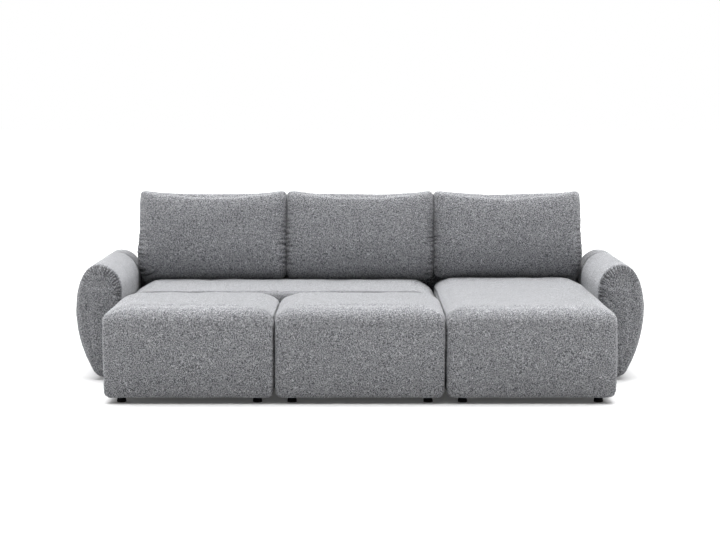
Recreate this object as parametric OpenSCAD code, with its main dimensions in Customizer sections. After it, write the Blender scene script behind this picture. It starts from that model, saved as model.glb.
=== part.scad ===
// Sofa bed with chaise: a two-seat bench and a full-depth chaise between padded arms,
// a padded backrest with three loose back cushions, and two poufs that stand on their
// own feet in front of the bench and level the seat into a bed.
// X runs along the sofa, Y to the back, Z up. The origin is on the floor, under the
// middle of the whole.

/* [Seats] */
// Width of one seat, from the middle of one gap to the next
seat_w = 800; // [700:5:900]
// Gap between neighbouring seat blocks
block_gap = 6; // [4:1:12]
// Depth of a pouf
pouf_d = 706; // [600:2:800]
// Gap between a pouf and the bench when the pouf is pushed in
pouf_gap = 0.5; // [0.4:0.1:4]
// Depth of the bench seat
bench_d = 842; // [780:2:900]
// Height of a pouf in the middle of its crown
pouf_h = 456; // [400:1:480]
// How far the bench lies below the poufs
bench_drop = 13; // [0:1:30]
// How far the chaise lies below the poufs
chaise_drop = 3; // [0:1:30]
// Height of the lower edge of the seat covers above the floor
cover_z = 27; // [20:1:50]

/* [Seat upholstery] */
// Rise of the crown above the edge of a seat
crown = 12; // [4:1:20]
// Width of the rolled edge along the sides of a seat
roll_x = 120; // [60:5:125]
// Width of the rolled edge along the front and back of a seat
roll_y = 80; // [60:5:95]
// Height of the rolled edge
roll_z = 80; // [60:5:95]
// Radius of the upright corners
corner_r = 35; // [20:1:45]
// How far the walls are drawn in above and below their belly
draw_in = 5; // [0:1:6]
// Width of the roll under the side walls
hem_x = 36; // [15:1:37]
// Width of the roll under the front and back walls
hem_y = 20; // [10:1:36]
// Height of the roll under the walls
hem_z = 38; // [15:1:60]
// Thickness of cover and wadding on the walls
wall_pad = 45; // [44:1:60]
// Thickness of cover and wadding over the foam
top_pad = 30; // [26:1:50]

/* [Seat frames] */
// Thickness of the frame boards
board_t = 18; // [15:1:25]
// Height of the frame rails
rail_h = 160; // [120:5:200]
// Widest clear bay between two cross rails
bay_max = 260; // [200:5:280]
// How far the inner cross rails lie below the webbing, to let it give
brace_drop = 40; // [20:5:60]
// How far the frame sits above the lower edge of its cover
frame_up = 3; // [2:0.5:8]
// Side of the square posts over the feet
post_w = 50; // [40:1:60]
// Width of an elastic band
band_w = 60; // [40:5:80]
// Widest gap between two bands
band_gap = 55; // [30:5:80]
// Thickness of an elastic band
band_t = 2; // [1.5:0.5:4]
// Thickness of the dust cloth
cloth_t = 1.5; // [1:0.5:3]
// Margin from the frame's outline to the edge of the dust cloth
cloth_in = 4; // [2:1:10]

/* [Feet] */
// Diameter of a seat foot at the floor
foot_d = 45; // [35:1:60]
// Diameter of a seat foot at its top
foot_top_d = 38; // [30:1:60]
// Radius of the rounded edge of feet and glides
foot_edge = 3; // [1:0.5:4]
// Distance from the walls of a block to the middle of a foot
foot_in = 78; // [72:1:110]
// Longest span between two feet
foot_span = 1000; // [850:10:1400]
// Diameter of a foot's stud
stud_d = 8; // [6:1:10]
// Length of a foot's stud
stud_l = 30; // [15:1:40]

/* [Arms] */
// Width of an arm
arm_w = 230; // [200:2:260]
// Height of an arm
arm_h = 579; // [540:1:620]
// Height of an arm's lower edge above the floor
arm_z = 11; // [8:1:20]
// Height at which an arm is widest
arm_belly_z = 378; // [340:1:400]
// Height at which the upright inner side starts to round over
arm_shoulder_z = 455; // [430:1:480]
// Squareness of the outer shoulder, 2 for an ellipse
arm_shoulder_e = 2.2; // [2:0.1:3]
// Radius of the outer side below the belly
arm_side_r = 750; // [600:10:1500]
// Radius of the outer lower edge
arm_foot_r = 70; // [55:1:90]
// Radius of the inner lower edge
arm_inner_r = 48; // [47:1:60]
// Radius of the rounded edge around the front and rear panels
arm_edge_r = 32; // [20:1:34]
// Rise of the domed front and rear panels
arm_dome = 8; // [3:1:12]
// Thickness of cover and wadding on an arm
arm_pad = 34; // [30:1:40]
// Length of padding ahead of and behind an arm's frame
arm_end_pad = 42; // [36:1:60]
// Height of the top of an arm's frame, which carries its foam
arm_foam_z = 430; // [400:1:450]
// Distance from the inner side to the base board
arm_base_in = 52; // [46:1:60]
// Width of an arm's base board
arm_base_w = 62; // [50:1:70]
// Thickness of the bent panel on the outer side
panel_t = 4; // [3:0.5:6]
// Diameter of an arm's glides
glide_d = 40; // [30:1:48]
// Distance from an arm's ends to the middle of a glide
glide_in = 110; // [80:5:200]
// Length of a glide's stud
glide_stud_l = 22; // [15:1:25]

/* [Backrest] */
// Depth of the backrest at its base
back_d = 115; // [112:1:140]
// Gap between the bench and the backrest
back_gap = 2.5; // [1:0.5:6]
// Height of the backrest
back_h = 640; // [560:2:700]
// Height at which the front of the backrest starts to lean
back_knee_z = 415; // [390:1:440]
// Lean of the backrest and the back cushions, in degrees
lean = 11; // [6:0.5:12]
// Radius of the backrest's top edges
back_top_r = 30; // [20:1:32]
// Radius of the backrest's lower edges
back_hem_r = 24; // [22:1:26]
// Radius of the backrest's rounded ends
back_end_r = 16; // [8:1:20]
// Thickness of cover and wadding on the backrest
back_pad = 28; // [26:1:30]

/* [Back cushions] */
// Height of the upper corners of the back cushions above the floor, before they are rounded
cushion_top = 914; // [860:1:960]
// Thickness of a back cushion
cushion_t = 150; // [130:2:160]
// Rise of the upper corners above the middle of the top edge
cushion_ear = 24; // [5:1:30]
// Squareness of the section through the thickness, 2 for an ellipse
section_e = 4; // [3:0.5:6]
// Squareness of the outline seen from above
plan_e = 5; // [4:0.5:8]
// Squareness of the outline seen from the front
front_e = 24; // [14:1:30]
// Thickness left at the side seams, as a share of the middle
seam_share = 0.5; // [0.3:0.05:0.7]
// Clearance between a back cushion and what it rests on
rest_gap = 0.3; // [0.3:0.1:2]
// Cover and wadding beside the core
core_in_x = 62; // [55:1:80]
// Cover and wadding in front of and behind the core
core_in_t = 34; // [30:1:45]
// Cover and wadding above and below the core
core_in_h = 66; // [60:1:80]
// Length of the zip under a back cushion
zip_l = 540; // [400:10:580]
// Width of the zip
zip_w = 8; // [6:1:12]
// Height of the zip
zip_h = 6; // [4:1:8]
// How far the zip sits inside the cover
zip_up = 2; // [1.5:0.5:4]

/* [Fasteners] */
// Diameter of a connecting bolt
bolt_d = 8; // [6:1:10]
// Diameter of a bolt's head
bolt_head_d = 18; // [14:1:22]
// Height of a bolt's head
bolt_head_h = 5; // [4:0.5:8]
// Diameter of a bolt's nut
bolt_nut_d = 15; // [12:1:18]
// Height of a bolt's nut
bolt_nut_h = 8; // [5:0.5:10]
// Distance from the front and back of the bench to the arm and module bolts
bolt_in = 200; // [150:5:240]
// Clearance around bolts and studs
fit = 0.3; // [0.2:0.05:0.6]

/* [Hidden] */

$fn = 48;
fabric = [0.56, 0.56, 0.57];
wood = [0.78, 0.63, 0.44];
hardboard = [0.55, 0.4, 0.27];
foam = [0.93, 0.9, 0.78];
elastic = [0.35, 0.33, 0.3];
black = [0.06, 0.06, 0.06];
steel = [0.7, 0.71, 0.73];
// Extra length of a cutter past the face that it opens
cut = 1;

// Places along Y, from the front of the poufs and the chaise to the rear of the arms
total_d = pouf_d + pouf_gap + bench_d + back_gap + back_d;
front_y = -total_d / 2;
rear_y = total_d / 2;
bench_front_y = front_y + pouf_d + pouf_gap;
bench_rear_y = bench_front_y + bench_d;
back_front_y = bench_rear_y + back_gap;
seats_x = 1.5 * seat_w;
block_w = seat_w - block_gap;
frame_z = cover_z + frame_up;
cloth_z = frame_z - cloth_t;

bench_h = pouf_h - bench_drop;
chaise_h = pouf_h - chaise_drop;

// Seat blocks as [x, y, width, depth, height]
left_pouf = [-seat_w, front_y + pouf_d / 2, block_w, pouf_d, pouf_h];
middle_pouf = [0, front_y + pouf_d / 2, block_w, pouf_d, pouf_h];
bench = [-seat_w / 2, bench_front_y + bench_d / 2, 2 * seat_w - block_gap, bench_d, bench_h];
chaise_d = bench_rear_y - front_y;
chaise = [seat_w, front_y + chaise_d / 2, block_w, chaise_d, chaise_h];

// Height of the foam's top in a block
function foam_top(b) = b[4] - crown - top_pad;
// Height of the webbing's upper face
webbing_z = frame_z + rail_h + 2 * band_t;
// Size of a block's frame, the longer side first
function frame_long(b) = max(b[2], b[3]) - 2 * wall_pad;
function frame_short(b) = min(b[2], b[3]) - 2 * wall_pad;
// Places of count pieces of a width, spread evenly over a length around the middle
function spread(length, width, count) =
    [for (i = [0:count - 1]) (length - width) * (i / (count - 1) - 0.5)];

// Soft outlines
arc_steps = 4;
edge_steps = 3;
function arc(centre, rx, ry, from, to, steps) =
    [for (i = [0:steps])
        let (a = from + (to - from) * i / steps)
        centre + [rx * cos(a), ry * sin(a)]];
function signed_pow(value, e) = sign(value) * pow(abs(value), e);
function squared_arc(centre, rx, ry, e, from, to, steps) =
    [for (i = [0:steps])
        let (a = from + (to - from) * i / steps)
        centre + [rx * signed_pow(cos(a), 2 / e), ry * signed_pow(sin(a), 2 / e)]];
function middle_of(points) = [for (p = points) 1] * points / len(points);
// A closed outline, run anticlockwise, moved inwards by a distance
function inset(outline, distance) =
    let (n = len(outline))
    [for (i = [0:n - 1])
        let (along = outline[(i + 1) % n] - outline[(i + n - 1) % n])
        outline[i] + distance * [-along.y, along.x] / norm(along)];
// A closed outline drawn towards its middle
function shrink(outline, share) =
    let (c = middle_of(outline))
    [for (p = outline) c + (p - c) * share];
function without_last(points) = [for (i = [0:len(points) - 2]) points[i]];
function reversed(list) = [for (i = [len(list) - 1:-1:0]) list[i]];

// Closed solid through rings of equally many points, with a fan over each end.
// Each ring runs anticlockwise seen from the side of the last ring.
module loft(rings) {
    n = len(rings[0]);
    m = len(rings);
    points = concat([for (ring = rings) each ring], [middle_of(rings[0]), middle_of(rings[m - 1])]);
    walls = [for (j = [0:m - 2]) for (i = [0:n - 1])
        let (a = j * n + i, b = j * n + (i + 1) % n)
        each [[a, a + n, b + n], [a, b + n, b]]];
    first = [for (i = [0:n - 1]) [m * n, i, (i + 1) % n]];
    last = [for (i = [0:n - 1]) [m * n + 1, (m - 1) * n + (i + 1) % n, (m - 1) * n + i]];
    polyhedron(points, concat(walls, first, last));
}

// Seat blocks
function round_rectangle(hx, hy, r) =
    let (corners = [[hx - r, hy - r], [r - hx, hy - r], [r - hx, r - hy], [hx - r, r - hy]])
    [for (k = [0:3])
        let (side = r * [cos(90 * k + 90), sin(90 * k + 90)],
             from = corners[k] + side,
             to = corners[(k + 1) % 4] + side)
        each concat(
            arc(corners[k], r, r, 90 * k, 90 * k + 90, arc_steps),
            [for (i = [1:edge_steps]) from + (to - from) * i / (edge_steps + 1)])];

// Levels of a block's walls as [inset in X, inset in Y, height]
function wall_levels(h) =
    let (edge_z = h - crown)
    concat(
        [for (a = [0:30:90])
            [draw_in + hem_x * (1 - sin(a)), draw_in + hem_y * (1 - sin(a)), cover_z + hem_z * (1 - cos(a))]],
        [[0, 0, (cover_z + edge_z) / 2]],
        [for (a = [0:15:90])
            [draw_in + roll_x * (1 - cos(a)), draw_in + roll_y * (1 - cos(a)),
             edge_z - roll_z * (1 - sin(a))]]);

function block_rings(hx, hy, h) =
    let (ax = hx - draw_in - roll_x, ay = hy - draw_in - roll_y)
    concat(
        [for (l = wall_levels(h))
            [for (p = round_rectangle(hx - l[0], hy - l[1], corner_r)) [p.x, p.y, l[2]]]],
        [for (share = [0.8, 0.5, 0.2])
            [for (p = round_rectangle(share * ax, share * ay, share * corner_r))
                [p.x, p.y, h - crown + crown * pow((1 - pow(p.x / ax, 2)) * (1 - pow(p.y / ay, 2)), 2)]]]);

module block_cover(b) {
    inside = [b[2] - 2 * wall_pad, b[3] - 2 * wall_pad, foam_top(b) - cover_z + cut];
    translate([b[0], b[1], 0]) difference() {
        loft(block_rings(b[2] / 2, b[3] / 2, b[4]));
        translate([-inside.x / 2, -inside.y / 2, cover_z - cut]) cube(inside);
    }
}

module block_foam(b) {
    size = [b[2] - 2 * wall_pad, b[3] - 2 * wall_pad, foam_top(b) - webbing_z];
    translate([b[0] - size.x / 2, b[1] - size.y / 2, webbing_z]) cube(size);
}

// The frame, webbing and feet of a block are laid out with the longer side along X
module along_block(b) {
    translate([b[0], b[1], 0]) rotate(b[3] > b[2] ? 90 : 0) children();
}

function foot_spots(b) =
    let (long = max(b[2], b[3]), short = min(b[2], b[3]), spans = ceil(long / foot_span))
    [for (x = spread(long - 2 * foot_in, 0, spans + 1)) for (s = [-1, 1]) [x, s * (short / 2 - foot_in)]];

module block_frame(b) {
    long = frame_long(b);
    short = frame_short(b);
    bays = ceil((long - board_t) / (bay_max + board_t));
    along_block(b) difference() {
        union() {
            for (s = [-1, 1])
                translate([-long / 2, s * (short - board_t) / 2 - board_t / 2, frame_z])
                    cube([long, board_t, rail_h]);
            for (s = [-1, 1])
                translate([s * (long - board_t) / 2 - board_t / 2, board_t - short / 2, frame_z])
                    cube([board_t, short - 2 * board_t, rail_h + band_t]);
            for (x = spread(long, board_t, bays + 1))
                translate([x - board_t / 2, board_t - short / 2, frame_z])
                    cube([board_t, short - 2 * board_t, rail_h - brace_drop]);
            for (p = foot_spots(b))
                translate([p.x - post_w / 2, p.y - post_w / 2, frame_z])
                    cube([post_w, post_w, rail_h]);
        }
        for (p = foot_spots(b))
            translate([p.x, p.y, frame_z - cut]) cylinder(d = stud_d + 2 * fit, h = stud_l + fit + cut);
    }
}

module block_webbing(b) {
    long = frame_long(b);
    short = frame_short(b);
    clear_long = long - 2 * board_t;
    clear_short = short - 2 * board_t;
    across = ceil((clear_long + band_gap) / (band_w + band_gap));
    lengthwise = ceil((clear_short + band_gap) / (band_w + band_gap));
    along_block(b) {
        for (x = spread(clear_long, band_w, across))
            translate([x - band_w / 2, -short / 2, frame_z + rail_h]) cube([band_w, short, band_t]);
        for (y = spread(clear_short, band_w, lengthwise))
            translate([-long / 2, y - band_w / 2, frame_z + rail_h + band_t]) cube([long, band_w, band_t]);
    }
}

module block_dust_cloth(b) {
    size = [frame_long(b) - 2 * cloth_in, frame_short(b) - 2 * cloth_in, cloth_t];
    along_block(b) difference() {
        translate([-size.x / 2, -size.y / 2, cloth_z]) cube(size);
        for (p = foot_spots(b))
            translate([p.x, p.y, cloth_z - cut]) cylinder(d = stud_d + 2 * fit, h = cloth_t + 2 * cut);
    }
}

// Turned foot or glide with a stud, from the floor up
module foot(d, top_d, h, stud) {
    rotate_extrude() polygon(concat(
        [[0, 0]],
        arc([d / 2 - foot_edge, foot_edge], foot_edge, foot_edge, -90, 0, 4),
        [[top_d / 2, h], [stud_d / 2, h], [stud_d / 2, h + stud], [0, h + stud]]));
}

module block_feet(b) {
    along_block(b) for (p = foot_spots(b))
        translate([p.x, p.y, 0]) foot(foot_d, foot_top_d, cloth_z, stud_l + cloth_t);
}

// Arms, drawn for the right end with x outwards from the inner side
arm_mid = arm_w / 2;
arm_side_x = arm_w - arm_side_r;
arm_foot_angle = asin((arm_belly_z - arm_z - arm_foot_r) / (arm_side_r - arm_foot_r));
arm_foot_x = arm_side_x + (arm_side_r - arm_foot_r) * cos(arm_foot_angle);
arm_steps = 8;
arm_outline = concat(
    arc([arm_inner_r, arm_z + arm_inner_r], arm_inner_r, arm_inner_r, 180, 270, 4),
    without_last(arc([arm_foot_x, arm_z + arm_foot_r], arm_foot_r, arm_foot_r,
        270, 360 - arm_foot_angle, 4)),
    without_last(arc([arm_side_x, arm_belly_z], arm_side_r, arm_side_r, -arm_foot_angle, 0, 4)),
    without_last(squared_arc([arm_mid, arm_belly_z], arm_mid, arm_h - arm_belly_z,
        arm_shoulder_e, 0, 90, arm_steps)),
    arc([arm_mid, arm_shoulder_z], arm_mid, arm_h - arm_shoulder_z, 90, 180, arm_steps));
arm_core = inset(arm_outline, arm_pad);
arm_base_z = arm_z + frame_up;
arm_base_top = arm_z + arm_pad + board_t;

module right_arm_place() {
    translate([seats_x, 0, 0]) children();
}

module left_arm_place() {
    mirror([1, 0, 0]) right_arm_place() children();
}

// Rings from the middle of an arm's end panel out to its full section
function arm_end_rings(end_y, inwards) = concat(
    [for (share = [0.3, 0.7])
        [for (p = shrink(inset(arm_outline, arm_edge_r), share))
            [p.x, end_y + inwards * arm_dome * share * share, p.y]]],
    [for (a = [0:30:90])
        [for (p = inset(arm_outline, arm_edge_r * (1 - sin(a))))
            [p.x, end_y + inwards * (arm_dome + arm_edge_r * (1 - cos(a))), p.y]]]);

// Extrudes an arm's section between two places along Y
module along_arm(from_y, to_y) {
    translate([0, to_y, 0]) rotate([90, 0, 0]) linear_extrude(to_y - from_y) children();
}

module arm_base_section(from_z) {
    translate([arm_base_in, from_z]) square([arm_base_w, arm_base_top - from_z]);
}

// The bent panel lies on the outer side, from the base up to the foam
module arm_panel_section() {
    intersection() {
        difference() {
            polygon(arm_core);
            polygon(inset(arm_outline, arm_pad + panel_t));
        }
        translate([arm_mid, arm_base_top]) square([arm_w, arm_foam_z - arm_base_top]);
    }
}

module arm_former_section() {
    intersection() {
        difference() {
            polygon(arm_core);
            arm_panel_section();
        }
        square([arm_w, arm_foam_z]);
    }
}

arm_from_y = bench_front_y + arm_end_pad;
arm_to_y = rear_y - arm_end_pad;

module arm_cover() {
    difference() {
        loft(concat(arm_end_rings(rear_y, -1), reversed(arm_end_rings(bench_front_y, 1))));
        along_arm(arm_from_y, arm_to_y) {
            polygon(arm_core);
            arm_base_section(arm_z - cut);
        }
        bench_bolt_holes();
    }
}

module arm_frame() {
    bays = ceil((arm_to_y - arm_from_y - board_t) / (bay_max + board_t));
    difference() {
        union() {
            for (y = spread(arm_to_y - arm_from_y, board_t, bays + 1))
                let (mid_y = (arm_from_y + arm_to_y) / 2 + y)
                along_arm(mid_y - board_t / 2, mid_y + board_t / 2) arm_former_section();
            along_arm(arm_from_y, arm_to_y) {
                arm_base_section(arm_base_z);
                intersection() {
                    polygon(arm_core);
                    translate([0, arm_z]) square([arm_pad + board_t, arm_foam_z - arm_z]);
                }
            }
        }
        bench_bolt_holes();
        for (p = glide_spots)
            translate([p.x, p.y, arm_base_z - cut])
                cylinder(d = stud_d + 2 * fit, h = glide_stud_l + fit + cut);
    }
}

module arm_panel() {
    along_arm(arm_from_y, arm_to_y) arm_panel_section();
}

module arm_foam() {
    along_arm(arm_from_y, arm_to_y) intersection() {
        polygon(arm_core);
        translate([0, arm_foam_z]) square([arm_w, arm_h - arm_foam_z]);
    }
}

glide_spots = [for (y = [bench_front_y + glide_in, rear_y - glide_in]) [arm_base_in + arm_base_w / 2, y]];

module arm_glides() {
    for (p = glide_spots) translate([p.x, p.y, 0]) foot(glide_d, glide_d, arm_base_z, glide_stud_l);
}

// Bolts, with the head at the origin and the shank along +X
module bolt(grip) {
    rotate([0, 90, 0]) {
        cylinder(d = bolt_d, h = grip);
        translate([0, 0, -bolt_head_h]) cylinder(d = bolt_head_d, h = bolt_head_h);
        translate([0, 0, grip]) cylinder(d = bolt_nut_d, h = bolt_nut_h);
    }
}

// Room for a bolt's shank through both frames and what lies between them, and for
// its head and nut past the two boards
module bolt_hole(grip) {
    whole = grip + bolt_head_h + bolt_nut_h + 2 * cut;
    rotate([0, 90, 0]) {
        translate([0, 0, -bolt_head_h - cut]) cylinder(d = bolt_d + 2 * fit, h = whole);
        translate([0, 0, -bolt_head_h - cut]) cylinder(d = bolt_head_d + 2 * fit, h = bolt_head_h + cut);
        translate([0, 0, grip]) cylinder(d = bolt_nut_d + 2 * fit, h = bolt_nut_h + cut);
    }
}

bolt_z = frame_z + rail_h / 2;
bolt_ys = [bench_front_y + bolt_in, bench_rear_y - bolt_in];
// Distance from a frame's outer face to the middle of the gap beside its block
frame_in = wall_pad + block_gap / 2;
arm_grip = frame_in + arm_pad + 2 * board_t;
module_grip = 2 * (frame_in + board_t);
back_grip = wall_pad + back_gap + back_pad + 2 * board_t;
back_bolt_xs = [for (b = [bench, chaise]) for (s = [-1, 1]) b[0] + s * b[2] / 4];

// In an arm's own place, the head is behind its inner board
module bench_bolt_spots() {
    for (y = bolt_ys)
        translate([arm_pad + board_t, y, bolt_z]) mirror([1, 0, 0]) children();
}

module bench_bolt_holes() {
    bench_bolt_spots() bolt_hole(arm_grip);
}

module module_bolt_spots() {
    for (y = bolt_ys)
        translate([seat_w / 2 - frame_in - board_t, y, bolt_z]) children();
}

module backrest_bolt_spots() {
    for (x = back_bolt_xs)
        translate([x, bench_rear_y - wall_pad - board_t, bolt_z]) rotate(90) children();
}

module seat_bolt_holes() {
    left_arm_place() bench_bolt_holes();
    right_arm_place() bench_bolt_holes();
    module_bolt_spots() bolt_hole(module_grip);
    backrest_bolt_spots() bolt_hole(back_grip);
}

// Backrest, with its section drawn as (y, z)
function lean_y(z) = back_front_y + (z - back_knee_z) * tan(lean);
back_outline = let (c = back_top_r, h = back_hem_r)
    concat(
        arc([back_front_y + h, cover_z + h], h, h, 180, 270, 3),
        arc([rear_y - h, cover_z + h], h, h, 270, 360, 3),
        arc([rear_y - c, back_h - c], c, c, 0, 90, 4),
        arc([lean_y(back_h - c) + c / cos(lean), back_h - c], c, c, 90, 180 - lean, 4),
        [[back_front_y, back_knee_z]]);
back_core_y = back_front_y + back_pad;
back_core_rear_y = rear_y - back_pad;
back_core_top = back_h - back_pad;
back_rail_z = back_core_top - 2 * board_t;
back_half = seats_x - block_gap / 2;

module along_backrest(from_x, to_x) {
    translate([from_x, 0, 0]) rotate([90, 0, 90]) linear_extrude(to_x - from_x) children();
}

module back_core_section(from_z) {
    polygon([
        [back_core_y, from_z],
        [back_core_rear_y, from_z],
        [back_core_rear_y, back_core_top],
        [lean_y(back_core_top) + back_pad / cos(lean), back_core_top],
        [back_core_y, back_knee_z - back_pad * tan(lean / 2)]
    ]);
}

// The panel covers the front of the ribs from the knee up to the top rail
module back_panel_section() {
    intersection() {
        difference() {
            back_core_section(frame_z);
            translate([panel_t, 0]) back_core_section(frame_z);
        }
        translate([back_core_y, back_knee_z]) square([back_d, back_rail_z - back_knee_z]);
    }
}

module backrest_cover() {
    ends = [for (a = [0:45:90]) [back_half - back_end_r * (1 - cos(a)), back_end_r * (1 - sin(a))]];
    difference() {
        loft(concat(
            [for (e = ends) [for (p = inset(back_outline, e[1])) [-e[0], p.x, p.y]]],
            [for (e = reversed(ends)) [for (p = inset(back_outline, e[1])) [e[0], p.x, p.y]]]));
        along_backrest(back_pad - back_half, back_half - back_pad) back_core_section(cover_z - cut);
        backrest_bolt_spots() bolt_hole(back_grip);
    }
}

module backrest_frame() {
    half = back_half - back_pad;
    bays = ceil((2 * half - board_t) / (bay_max + board_t));
    difference() {
        union() {
            for (x = spread(2 * half, board_t, bays + 1))
                along_backrest(x - board_t / 2, x + board_t / 2) difference() {
                    back_core_section(frame_z);
                    back_panel_section();
                }
            translate([-half, back_core_y, frame_z]) cube([2 * half, board_t, rail_h]);
            translate([-half, back_core_rear_y - board_t, frame_z]) cube([2 * half, board_t, rail_h]);
            translate([-half, back_core_y, frame_z])
                cube([2 * half, back_core_rear_y - back_core_y, board_t]);
            along_backrest(-half, half) intersection() {
                back_core_section(frame_z);
                translate([back_core_y, back_rail_z]) square([back_d, 2 * board_t]);
            }
        }
        backrest_bolt_spots() bolt_hole(back_grip);
    }
}

module backrest_panel() {
    along_backrest(back_pad - back_half, back_half - back_pad) back_panel_section();
}

// Back cushions, as [x, height of the seat's edge below]
left_cushion = [-seat_w, bench_h - crown];
middle_cushion = [0, bench_h - crown];
right_cushion = [seat_w, chaise_h - crown];
section_steps = 24;
// Half of the stations along a cushion, as shares of its half width
stations = [0.35, 0.65, 0.86, 0.95, 0.985, 1];
function cushion_z(c) = c[1] + rest_gap;
// Place of the lower front edge along Y
function cushion_y(c) = lean_y(cushion_z(c)) - (cushion_t + rest_gap) / cos(lean);
// Height along the lean, in the middle of the top edge
function cushion_h(c) =
    (cushion_top - cushion_z(c) + cushion_t / 2 * sin(lean)) / cos(lean) - cushion_ear;
// How full a cushion is at a share of its half width
function fullness(share, e, at_seam) = max(at_seam, pow(1 - pow(abs(share), e), 1 / e));

function cushion_ring(c, share) =
    let (h = cushion_h(c),
         thick = fullness(share, plan_e, seam_share),
         tall = fullness(share, front_e, 0.85),
         ear = cushion_ear * pow(abs(share), 3),
         slope = tan(lean))
    [for (i = [0:section_steps - 1])
        let (a = 360 * i / section_steps,
             t = cushion_t / 2 * (1 + thick * signed_pow(cos(a), 2 / section_e)),
             up = (1 + tall * signed_pow(sin(a), 2 / section_e)) / 2,
             v = h * up + (1 - up) * t * slope + ear * up * up)
        [share * block_w / 2, t * cos(lean) + v * sin(lean), v * cos(lean) - t * sin(lean)]];

module cushion_place(c) {
    translate([c[0], cushion_y(c), cushion_z(c)]) children();
}

// Moves what is drawn upright, from the lower front edge up, to the cushion's lean
module cushion_lean(c) {
    cushion_place(c) rotate([-lean, 0, 0]) children();
}

module core_block(c) {
    size = [block_w - 2 * core_in_x, cushion_t - 2 * core_in_t, cushion_h(c) - 2 * core_in_h];
    translate([-size.x / 2, core_in_t, core_in_h]) cube(size);
}

// Height along the lean of the cushion's underside, in the middle of its thickness
cushion_under = cushion_t / 2 * tan(lean);

module cushion_cover(c) {
    shares = concat([for (s = reversed(stations)) -s], [0], stations);
    difference() {
        cushion_place(c) loft([for (s = shares) cushion_ring(c, s)]);
        cushion_lean(c) {
            core_block(c);
            translate([-zip_l / 2, (cushion_t - zip_w) / 2, cushion_under - zip_h])
                cube([zip_l, zip_w, core_in_h + zip_h - cushion_under + cut]);
        }
    }
}

module cushion_core(c) {
    cushion_lean(c) core_block(c);
}

module cushion_zip(c) {
    cushion_lean(c) translate([-zip_l / 2, (cushion_t - zip_w) / 2, cushion_under + zip_up])
        cube([zip_l, zip_w, zip_h]);
}

// Bench
module bench_frame() {
    color(wood) difference() {
        block_frame(bench);
        seat_bolt_holes();
    }
}
module bench_webbing() {
    color(elastic) block_webbing(bench);
}
module bench_foam() {
    color(foam) block_foam(bench);
}
module bench_cover() {
    color(fabric) difference() {
        block_cover(bench);
        seat_bolt_holes();
    }
}
module bench_dust_cloth() {
    color(black) block_dust_cloth(bench);
}
module bench_feet() {
    color(black) block_feet(bench);
}

// Chaise
module chaise_frame() {
    color(wood) difference() {
        block_frame(chaise);
        seat_bolt_holes();
    }
}
module chaise_webbing() {
    color(elastic) block_webbing(chaise);
}
module chaise_foam() {
    color(foam) block_foam(chaise);
}
module chaise_cover() {
    color(fabric) difference() {
        block_cover(chaise);
        seat_bolt_holes();
    }
}
module chaise_dust_cloth() {
    color(black) block_dust_cloth(chaise);
}
module chaise_feet() {
    color(black) block_feet(chaise);
}

// Fasteners
module arm_bolts() {
    color(steel) {
        left_arm_place() bench_bolt_spots() bolt(arm_grip);
        right_arm_place() bench_bolt_spots() bolt(arm_grip);
    }
}
module module_bolts() {
    color(steel) module_bolt_spots() bolt(module_grip);
}
module backrest_bolts() {
    color(steel) backrest_bolt_spots() bolt(back_grip);
}

bench_frame();
bench_webbing();
bench_foam();
bench_cover();
bench_dust_cloth();
bench_feet();
chaise_frame();
chaise_webbing();
chaise_foam();
chaise_cover();
chaise_dust_cloth();
chaise_feet();
color(wood) backrest_frame();
color(hardboard) backrest_panel();
color(fabric) backrest_cover();
color(wood) left_arm_place() arm_frame();  // left_arm_frame
color(hardboard) left_arm_place() arm_panel();  // left_arm_panel
color(foam) left_arm_place() arm_foam();  // left_arm_foam
color(fabric) left_arm_place() arm_cover();  // left_arm_cover
color(black) left_arm_place() arm_glides();  // left_arm_glides
color(wood) right_arm_place() arm_frame();  // right_arm_frame
color(hardboard) right_arm_place() arm_panel();  // right_arm_panel
color(foam) right_arm_place() arm_foam();  // right_arm_foam
color(fabric) right_arm_place() arm_cover();  // right_arm_cover
color(black) right_arm_place() arm_glides();  // right_arm_glides
arm_bolts();
module_bolts();
backrest_bolts();
color(wood) block_frame(left_pouf);  // left_pouf_frame
color(elastic) block_webbing(left_pouf);  // left_pouf_webbing
color(foam) block_foam(left_pouf);  // left_pouf_foam
color(fabric) block_cover(left_pouf);  // left_pouf_cover
color(black) block_dust_cloth(left_pouf);  // left_pouf_dust_cloth
color(black) block_feet(left_pouf);  // left_pouf_feet
color(wood) block_frame(middle_pouf);  // middle_pouf_frame
color(elastic) block_webbing(middle_pouf);  // middle_pouf_webbing
color(foam) block_foam(middle_pouf);  // middle_pouf_foam
color(fabric) block_cover(middle_pouf);  // middle_pouf_cover
color(black) block_dust_cloth(middle_pouf);  // middle_pouf_dust_cloth
color(black) block_feet(middle_pouf);  // middle_pouf_feet
color(fabric) cushion_cover(left_cushion);  // left_cushion_cover
color(foam) cushion_core(left_cushion);  // left_cushion_core
color(black) cushion_zip(left_cushion);  // left_cushion_zip
color(fabric) cushion_cover(middle_cushion);  // middle_cushion_cover
color(foam) cushion_core(middle_cushion);  // middle_cushion_core
color(black) cushion_zip(middle_cushion);  // middle_cushion_zip
color(fabric) cushion_cover(right_cushion);  // right_cushion_cover
color(foam) cushion_core(right_cushion);  // right_cushion_core
color(black) cushion_zip(right_cushion);  // right_cushion_zip
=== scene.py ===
"""Looks of the sofa bed with chaise: the sewn and padded covers, their fabric, the inner
materials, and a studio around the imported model. All lengths are in metres."""

import math

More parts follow.
